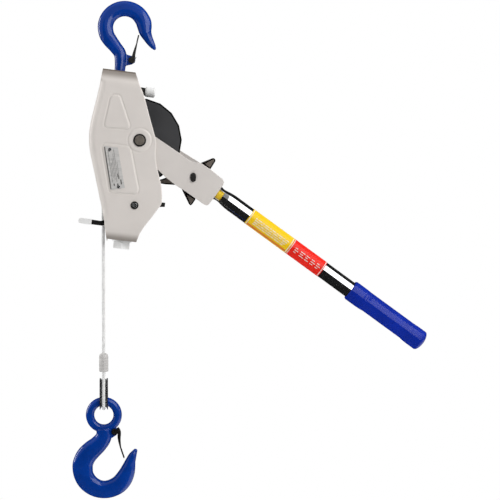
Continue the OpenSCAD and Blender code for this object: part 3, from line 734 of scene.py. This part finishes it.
def ring_patch(x0, x1, a0, a1, r):
    """A thin patch wrapped on a tube, between two lengths and two angles in degrees; it carries print, and
    painted shade too.
    """
    n = max(2, int(abs(a1 - a0) / 4) + 1)
    a = np.radians(np.linspace(a0, a1, n))
    verts = [(x, rr * -math.cos(t), rr * math.sin(t)) for rr in (r, r + mark_t) for x in (x0, x1)
             for t in a]
    lay = [(i, i + 1, n + i + 1, n + i) for i in range(n - 1)]
    top = [(2 * n + q[3], 2 * n + q[2], 2 * n + q[1], 2 * n + q[0]) for q in lay]
    return verts, lay + top


def wrapped_marks(name, patches, paint, node, r):
    """Several patches on a tube, as one piece: print, and painted shade too."""
    verts, faces = [], []
    for patch in patches:
        v, f = ring_patch(*patch, r)
        faces += [tuple(i + len(verts) for i in q) for q in f]
        verts += v
    return beside(object_of(name, verts, faces, TUBE, paint), node)


# ---- handle ----

tube_r = 10.0
handle_len = 308
grip_from = 199
yellow_from, yellow_to, red_to = 48, 109, 157
notch_len, notch_low, notch_high = 8.6, -6.6, 5.0
tube_wall = 1.1
label_t = 0.3

mouth = curve([(0, 9.5), (1.6, 9.0), (4, 8.3), (8, 8.35), (15, 9.5), (22, 10), (30, 10)], 5)
tube_sides = 144
tube_x = np.concatenate([mouth[:, 0], np.linspace(36, handle_len - 7, 60)])
tube_radius = np.concatenate([mouth[:, 1], np.full(60, tube_r)])
around = np.linspace(0, 2 * math.pi, tube_sides, endpoint=False)
tube_verts = np.stack([np.repeat(tube_x[:, None], tube_sides, 1),
                       tube_radius[:, None] * np.cos(around),
                       tube_radius[:, None] * np.sin(around)], -1)
flat_tube = tube_verts.reshape(-1, 3)
tube_faces = []
for q in grid_faces(len(tube_x), tube_sides, caps=False):
    x, y, z = flat_tube[list(q)].mean(0)
    notch = x < notch_len and y < 0 and notch_low < z < notch_high
    if not notch:
        tube_faces.append(q)
tube = object_of("handle_tube_shell", flat_tube, tube_faces, TUBE, "chrome_tube", 60)
wall = tube.modifiers.new("wall", "SOLIDIFY")
wall.thickness = tube_wall * MM
wall.offset = -1
bevelled(tube, 0.25, 2, 50)
stand_in(tube, "handle_tube")


def label(name, x0, x1, node):
    """A printed sleeve on the tube, thinner at its ends and very slightly uneven."""
    edge = 0.25
    outer = tube_r + label_t
    profile = [(x0, tube_r), (x0, outer - 0.1), (x0 + edge, outer),
               *[(x, outer + 0.02 * math.sin(x * 1.7)) for x in np.linspace(x0 + 1, x1 - 1, 40)],
               (x1 - edge, outer), (x1, outer - 0.1), (x1, tube_r)]
    v, f = lathe(profile, 96)
    return stand_in(object_of(name, v, f[:-2], TUBE, SLOT_OF[node], 50), node)


label("yellow_sleeve", yellow_from, yellow_to, "yellow_band")
label("red_sleeve", yellow_to, red_to, "red_band")
label_r = tube_r + label_t + 0.03
yellow_marks = [(yellow_from + 1.2, yellow_from + 2.0, -180, 180),
                (yellow_to - 1.6, yellow_to - 0.8, -180, 180)]
for row in range(4):
    x = yellow_from + 8
    step = 0
    while x < yellow_to - 8:
        width = 2.2 + 1.6 * ((row * 3 + step * 2) % 4)
        yellow_marks.append((x, min(x + width, yellow_to - 5), 12 - row * 14, 17.5 - row * 14))
        x += width + 1.3
        step += 1
wrapped_marks("yellow_print", yellow_marks, "label_mark", "yellow_band", label_r)
# Painted shade: an orange band low on the yellow sleeve stands for the shade on the tube's underside.
wrapped_marks("yellow_painted_shade_band", [(yellow_from + 2.4, yellow_to - 2.2, -66, -46)], "label_painted_shade",
              "yellow_band", label_r)
red_marks = [(yellow_to + 0.8, yellow_to + 1.5, -180, 180), (red_to - 1.7, red_to - 0.9, -180, 180)]
for row in range(3):
    for step in range(5):
        x = yellow_to + 6 + step * 8
        red_marks.append((x, x + 3.4 + ((step * 3 + row * 2) % 4), 10 - row * 15, 14.5 - row * 15))
wrapped_marks("red_print", red_marks, "label_mark", "red_band", label_r)

grip_len = handle_len - grip_from
grip_r = 12.6
waist_depth = 0.35
panel_depth = 0.55
rib_height = 0.22
rib_at = 20.5
grip_x = np.concatenate([
    [0, 0.25, 0.8, 1.4], np.linspace(2, 18, 12), np.linspace(19, grip_len - 19, 76),
    np.linspace(grip_len - 18, grip_len - 6, 12),
    grip_len - 5 + 5 * np.sin(np.linspace(0, math.pi / 2, 14)),
])
grip_sides = 128
theta = np.linspace(0, 2 * math.pi, grip_sides, endpoint=False)[None]
gx = grip_x[:, None]
waist = smooth_step(17, 20, gx) * (1 - smooth_step(grip_len - 20, grip_len - 17, gx))
hull = grip_r - waist_depth * waist
hull = hull - 0.9 * (1 - smooth_step(0, 1.6, gx))
cap_share = np.clip((gx - (grip_len - 5)) / 5, 0, 1)
hull = hull * np.sqrt(np.clip(1 - cap_share**2 * 0.86, 0.02, 1))
panel_ends = smooth_step(23, 27, gx) * (1 - smooth_step(grip_len - 27, grip_len - 23, gx))
panel_round = smooth_step(0.05, 0.35, np.cos(3 * (theta - math.radians(20))))
radius = hull - panel_depth * panel_ends * panel_round
ribs = sum(rib_height * np.exp(-((gx - at) / 0.8) ** 2) for at in (rib_at, grip_len - rib_at))
radius = radius + ribs * np.ones_like(theta)
grip_verts = np.stack([gx + grip_from + 0 * theta, radius * np.cos(theta), radius * np.sin(theta)], -1)
grip = object_of("grip_moulding", grip_verts.reshape(-1, 3), grid_faces(len(grip_x), grip_sides),
                 TUBE, "blue_vinyl", 70)
stand_in(grip, "grip")

# ---- knob, bolt head and nut ----

knob_at = (-0.4, 3.6, 58.4)
bolt_x = -6.8


def knurled_knob(name, node):
    """A turned knob with a crossed knurl on its middle and a domed end."""
    length, knob_r = 11.8, 6.0
    x = np.concatenate([np.linspace(0, 1.8, 8), np.linspace(1.9, 9.8, 60), np.linspace(10, length, 12)])
    a = np.linspace(0, 2 * math.pi, 168, endpoint=False)[None]
    xx = x[:, None]
    r = knob_r - 0.9 * (1 - smooth_step(0, 1.6, xx)) - 1.5 * smooth_step(10, length, xx) ** 2
    knurl = np.abs(np.sin(14 * a + xx * 1.7)) * np.abs(np.sin(14 * a - xx * 1.7))
    r = r - 0.16 * knurl * smooth_step(1.9, 2.4, xx) * (1 - smooth_step(9.3, 9.8, xx))
    v = np.stack([xx + 0 * a, r * np.cos(a), r * np.sin(a)], -1).reshape(-1, 3)
    place = FRAME @ Matrix.Translation(knob_at)
    # pale plating with a painted white reflection
    obj = object_of(name, v, grid_faces(len(x), a.shape[1]), place, "plating_and_painted_reflection", 60)
    return stand_in(obj, node)


knurled_knob("release_knob_turning", "release_knob")


def hex_nut(name, place, z0, z1, corner, turned, node, bore=0.0, paint=None):
    """A hexagon with its corners chamfered at both ends, about Z."""
    sides = 144
    flat = corner * math.cos(math.radians(30))
    rim = flat * 0.97
    a = np.linspace(0, 2 * math.pi, sides, endpoint=False)
    local = (a - math.radians(turned)) % math.radians(60) - math.radians(30)
    hexagon = flat / np.cos(local)
    cut = (hexagon - rim) * math.tan(math.radians(28))
    rings = [(np.minimum(hexagon, rim), z0 + 0 * a), (hexagon, z0 + cut), (hexagon, z1 - cut),
             (np.minimum(hexagon, rim), z1 + 0 * a)]
    if bore:
        rings = [(bore + 0 * a, z0 + 0.5 + 0 * a), (bore + 0.9 + 0 * a, z0 + 0 * a), *rings,
                 (bore + 0.9 + 0 * a, z1 + 0 * a), (bore + 0 * a, z1 - 0.5 + 0 * a)]
    else:
        rings = [(flat * 0.70 + 0 * a, z0 + 0.25 + 0 * a), (flat * 0.80 + 0 * a, z0 + 0 * a), *rings]
    v = np.stack([np.stack([r * np.cos(a), r * np.sin(a), z], 1) for r, z in rings]).reshape(-1, 3)
    obj = object_of(name, v, grid_faces(len(rings), sides), place, paint or SLOT_OF[node], 25)
    return stand_in(obj, node)


# The bolt head: pale plating with a painted white reflection.
hex_nut("bottom_bolt_head", FRAME @ Matrix.Translation((bolt_x, 0, 0)), -131, -122.6, 11, 30,
        "bottom_bolt", paint="plating_and_painted_reflection")
hex_nut("anchor_nut_turning", ANCHOR, -84, -71, 8.9, 30, "anchor_shank_nut", bore=6.2)

# ---- drum and rope ----

wrap_r = 43.8
layer_step = 3.4
wound_half = 8.0
core_half, core_bore, core_r = 9.6, 22, 40.0
rope_r = rope_d / 2 / MM


def winding(name, r, y0, y1, node=None):
    """Turns of wire rope side by side, from depth y0 to y1, starting where the rope leaves the drum."""
    turns = abs(y1 - y0) / (2 * rope_r + 0.05)
    n = int(turns * 90)
    a = math.pi - np.linspace(0, turns * 2 * math.pi, n)
    y = np.linspace(y0, y1, n)
    line = np.stack([r * np.cos(a), y, r * np.sin(a)], 1)
    outs = np.stack([np.cos(a), 0 * a, np.sin(a)], 1)
    v, f = swept(line, outs, strand_sections(lengths(line), rope_r, sides=24))
    obj = object_of(name, v, f, DRUM, "wire_rope", 60)
    return stand_in(obj, node) if node else beside(obj, "rope_winding")


winding("rope_outer_turns", wrap_r, 0.0, wound_half, "rope_winding")
winding("rope_under_turns", wrap_r - layer_step, wound_half, -wound_half)
core_v, core_f = lathe([(-core_half, core_bore), (-core_half, core_r), (core_half, core_r),
                        (core_half, core_bore)], 96)
core_v = core_v[:, [1, 0, 2]]  # a lathe turns about X, and the drum about Y
beside(object_of("rope_inner_turns", core_v, core_f, DRUM, "wire_rope"), "rope_winding")

route = np.asarray(rope_route) / MM
tail_n = 340
tail_z = np.linspace(route[0, 2], route[-1, 2], tail_n)
tail = np.stack([np.full(tail_n, rope_x), 0 * tail_z, tail_z], 1)
v, f = swept(tail, (1, 0, 0), strand_sections(lengths(tail), rope_r))
# The fall is painted pale: painted light on the same wire rope as the drum's turns.
rope = object_of("rope_fall", v, f, WORLD, "rope_with_painted_light", 60)
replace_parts(rope, "rope_tail")
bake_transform(rope)

# ferrule: a pressed sleeve with three faint press marks and a seam
ferrule_top, ferrule_len = -402.0, 22.0
ferrule_rows, ferrule_sides = 90, 96
press_depth = 0.06
seam_height = 0.35
fz = np.linspace(0, ferrule_len, ferrule_rows)
shape = np.interp(fz, [0, 0.8, ferrule_len - 4, ferrule_len - 1.4, ferrule_len], [5.1, 5.7, 5.7, 4.9, 3.2])
for centre in (5.0, 10.2, 15.4):
    shape = shape - press_depth * np.exp(-((fz - centre) / 1.15) ** 4)
fa = np.linspace(0, 2 * math.pi, ferrule_sides, endpoint=False)[None]
seam = seam_height * np.exp(-(np.abs(np.sin(fa + math.pi / 2)) / 0.10) ** 2)
fr = shape[:, None] - seam_height + seam + 0.18 * np.cos(2 * fa)
fv = np.stack([rope_x + fr * np.cos(fa), fr * np.sin(fa), ferrule_top - ferrule_len + fz[:, None]
               + 0 * fa], -1)
ferrule = object_of("ferrule_pressing", fv.reshape(-1, 3), grid_faces(ferrule_rows, ferrule_sides),
                    WORLD, "plate_metal", 50)
stand_in(ferrule, "ferrule")

thimble_z, thimble_r = -458.7, 6.5
eye_r = thimble_r + 1.2 + rope_r
leg_top = ferrule_top - ferrule_len - thimble_z
leg_y = 2.2
leg_spare = 9
leg_d = math.hypot(leg_y, leg_top)
leg_tilt = math.asin(eye_r / leg_d) - math.atan(leg_y / leg_top)
leg_len = math.sqrt(leg_d**2 - eye_r**2)


def eye_route(r, leg):
    """Down one leg of the rope's eye, round the bend, and up the other, with the outward direction."""
    points, outs = [], []
    down = np.linspace(leg, 0, 16)[:-1]
    bend_angles = np.linspace(leg_tilt, -math.pi - leg_tilt, 50)
    stations = ([(leg_tilt, d) for d in down] + [(a, 0.0) for a in bend_angles]
                + [(-math.pi - leg_tilt, -d) for d in down[::-1]])
    for a, rise in stations:
        out = np.array([0, math.cos(a), math.sin(a)])
        up = np.array([0, -math.sin(a), math.cos(a)])
        points.append(np.array([rope_x, 0, thimble_z]) + up * rise + out * r)
        outs.append(out)
    return np.array(points), np.array(outs)


eye_points, eye_outs = eye_route(eye_r, leg_len)
v, f = swept(eye_points, eye_outs, strand_sections(lengths(eye_points), rope_r))
# The eye has the same painted light as the fall.
rope_eye = stand_in(object_of("rope_eye_strands", v, f, WORLD, "rope_with_painted_light", 60), "rope_eye")
half = [(6.5, 0), (6.55, 1.4), (7.0, 3.0), (8.6, 4.4), (10.2, 4.85), (11, 4.9), (11, 4.1),
        (10.2, 3.95), (9, 3.4), (8.0, 2.2), (7.7, 0)]
thimble_section = np.array(half + [(o, -c) for o, c in half[-2:0:-1]])
base, outs = eye_route(0.0, leg_len - leg_spare)
across = np.array([1.0, 0, 0])
tv = base[:, None] + thimble_section[:, :1] * outs[:, None] + thimble_section[:, 1:] * across
thimble = object_of("thimble_pressing", tv.reshape(-1, 3),
                    grid_faces(len(base), len(thimble_section)), WORLD, SLOT_OF["thimble"], 40)
stand_in(thimble, "thimble")

# ---- the rest of the pieces, from the CAD with their edges broken ----

for node in ("near_yoke_plate", "far_yoke_plate", "ratchet_wheel", "holding_pawl"):
    dressed(node, width=0.6)
# The black on these broken edges is painted shade.
dressed("drum_spool", width=1.9, edge="painted_edge_shade")
dressed("operating_pawl", width=1.6, paint="pawl_face", edge="painted_edge_shade")
# Tip and washer: pale plating with a painted white reflection.
dressed("trip_lever_tip", width=0.6, paint="plating_and_painted_reflection")
dressed("bottom_washer", width=0.3, paint="plating_and_painted_reflection")
dressed("drum_shaft", width=0.5, paint="shaft_end")
for node in ("top_block", "bottom_block", "shaft_clips", "data_plate",
             "holding_pawl_pin", "trip_lever_pin", "trip_pin_clips", "trip_lever", "ratchet_rivets",
             "drum_bush", "yoke_socket", "socket_bush", "operating_pawl_pin", "anchor_latch_pin",
             "load_latch_pin", "thrust_washer", "rope_anchor_screw", "top_dowels"):
    dressed(node, width=0.3)
dressed("data_plate_pins", width=0.2)

# ---- studio ----

object_middle = Vector((0.08, 0, -0.25))
floor_side, floor_z = 8, -1.35


def level_card(name, centre, side, paint):
    """A flat, level card that belongs to the studio."""
    mesh = bpy.data.meshes.new(name)
    half = side / 2
    corners = [(-half, -half, 0), (half, -half, 0), (half, half, 0), (-half, half, 0)]
    mesh.from_pydata(corners, [], [(0, 1, 2, 3)])
    mesh.materials.append(paint)
    obj = bpy.data.objects.new(name, mesh)
    obj.location = centre
    bpy.context.scene.collection.objects.link(obj)


floor_paint = finish_of("floor", (0.86, 0.86, 0.86), 0.0, 0.7, 0.02, 3, 40, 0.02)
level_card("floor", (0.15, 0, floor_z), floor_side, floor_paint)
flag_paint = finish_of("flag", (0.004, 0.004, 0.004), 0.0, 0.9, 0.1, 3, 40, 0.01)
strip_paint = finish_of("strip", (0.9, 0.9, 0.9), 0.0, 0.9, 0.02, 3, 40, 0.01)
strip_shader = strip_paint.node_tree.nodes["Principled BSDF"]
strip_shader.inputs["Emission Color"].default_value = (1, 1, 1, 1)
strip_shader.inputs["Emission Strength"].default_value = 1.3
tube_middle = TUBE @ Vector((handle_len / 2, 0, 0))
tube_way = (TUBE @ Vector((1, 0, 0)) - TUBE @ Vector((0, 0, 0))).normalized()
tube_up = Vector((-tube_way.z, 0, tube_way.x))


def reflector(name, verts, faces, paint):
    """A card that shows only in reflections, and isn't part of the object."""
    mesh = bpy.data.meshes.new(name)
    mesh.from_pydata([tuple(v) for v in verts], [], faces)
    mesh.materials.append(paint)
    obj = bpy.data.objects.new(name, mesh)
    bpy.context.scene.collection.objects.link(obj)
    for seen_by in ("visible_camera", "visible_diffuse", "visible_shadow", "visible_transmission"):
        setattr(obj, seen_by, False)


def wrapped_card(name, start, end, paint, half, reach=0.75):
    """A card curved round the handle's axis, between two angles from the camera's side upwards."""
    steps = 24
    verts = []
    for k in range(steps + 1):
        a = math.radians(start + (end - start) * k / steps)
        out = Vector((0, -math.cos(a), 0)) + tube_up * math.sin(a)
        verts += [tube_middle + out * reach + tube_way * w for w in (-half, half)]
    reflector(name, verts, [(2 * k, 2 * k + 1, 2 * k + 3, 2 * k + 2) for k in range(steps)], paint)


def dark_bowl(name, widest, reach=3.0):
    """A black bowl behind the object, out to an angle from straight behind, for dark outlines."""
    steps, sides = 12, 48
    tilts = [math.radians(widest) * (k + 0.02) / steps for k in range(steps + 1)]
    turns = [2 * math.pi * q / sides for q in range(sides)]
    verts = [object_middle + reach * Vector((math.sin(a) * math.cos(b), math.cos(a),
                                             math.sin(a) * math.sin(b)))
             for a in tilts for b in turns]
    reflector(name, verts, grid_faces(steps + 1, sides, caps=False), flag_paint)


wrapped_card("flag_above", 80, 180, flag_paint, 0.7)
wrapped_card("flag_below", -180, 6, flag_paint, 0.7)
wrapped_card("strip_between", 8, 78, strip_paint, 0.27)
dark_bowl("flag_behind", 88)


def soft_light(name, centre, size, power, shiny=False):
    """An area light aimed at the object; only a shiny one shows in reflections."""
    data = bpy.data.lights.new(name, "AREA")
    data.shape = "RECTANGLE"
    data.size, data.size_y = size
    data.energy = power
    obj = bpy.data.objects.new(name, data)
    obj.location = centre
    obj.rotation_euler = (object_middle - Vector(centre)).to_track_quat("-Z", "Y").to_euler()
    obj.visible_glossy = shiny
    bpy.context.scene.collection.objects.link(obj)


soft_light("key", (1.1, -1.9, 1.2), (1.2, 1.2), 30)
soft_light("left_strip", (-1.75, 0.35, 0.1), (0.35, 1.3), 12, shiny=True)
soft_light("right_strip", (1.9, -0.1, 0.5), (0.25, 1.2), 6, shiny=True)
soft_light("top", (0.1, 0.1, 1.5), (1.4, 0.7), 9)
soft_light("back", (0.6, 1.9, 0.4), (1.4, 1.0), 5)

world = bpy.data.worlds.new("studio")
bpy.context.scene.world = world
world.use_nodes = True
sky = world.node_tree
direction = sky.nodes.new("ShaderNodeTexCoord").outputs["Generated"]
parts = sky.nodes.new("ShaderNodeSeparateXYZ")
sky.links.new(direction, parts.inputs["Vector"])


def sky_range(value, start, end, low, high):
    """The sky's brightness along one direction, between two of its values."""
    node = sky.nodes.new("ShaderNodeMapRange")
    node.interpolation_type = "SMOOTHSTEP"
    for key, number in (("From Min", start), ("From Max", end), ("To Min", low), ("To Max", high)):
        node.inputs[key].default_value = number
    sky.links.new(value, node.inputs["Value"])
    return node.outputs["Result"]


behind = sky_range(parts.outputs["Y"], -0.8, 0.7, 0.26, 1.0)
above = sky_range(parts.outputs["Z"], -0.95, -0.20, 0.30, 1.0)
product = sky.nodes.new("ShaderNodeMath")
product.operation = "MULTIPLY"
sky.links.new(behind, product.inputs[0])
sky.links.new(above, product.inputs[1])
sky.links.new(product.outputs[0], sky.nodes["Background"].inputs["Strength"])
sky.nodes["Background"].inputs["Color"].default_value = (1.0, 1.0, 1.0, 1)
bpy.context.scene.view_settings.view_transform = "Standard"
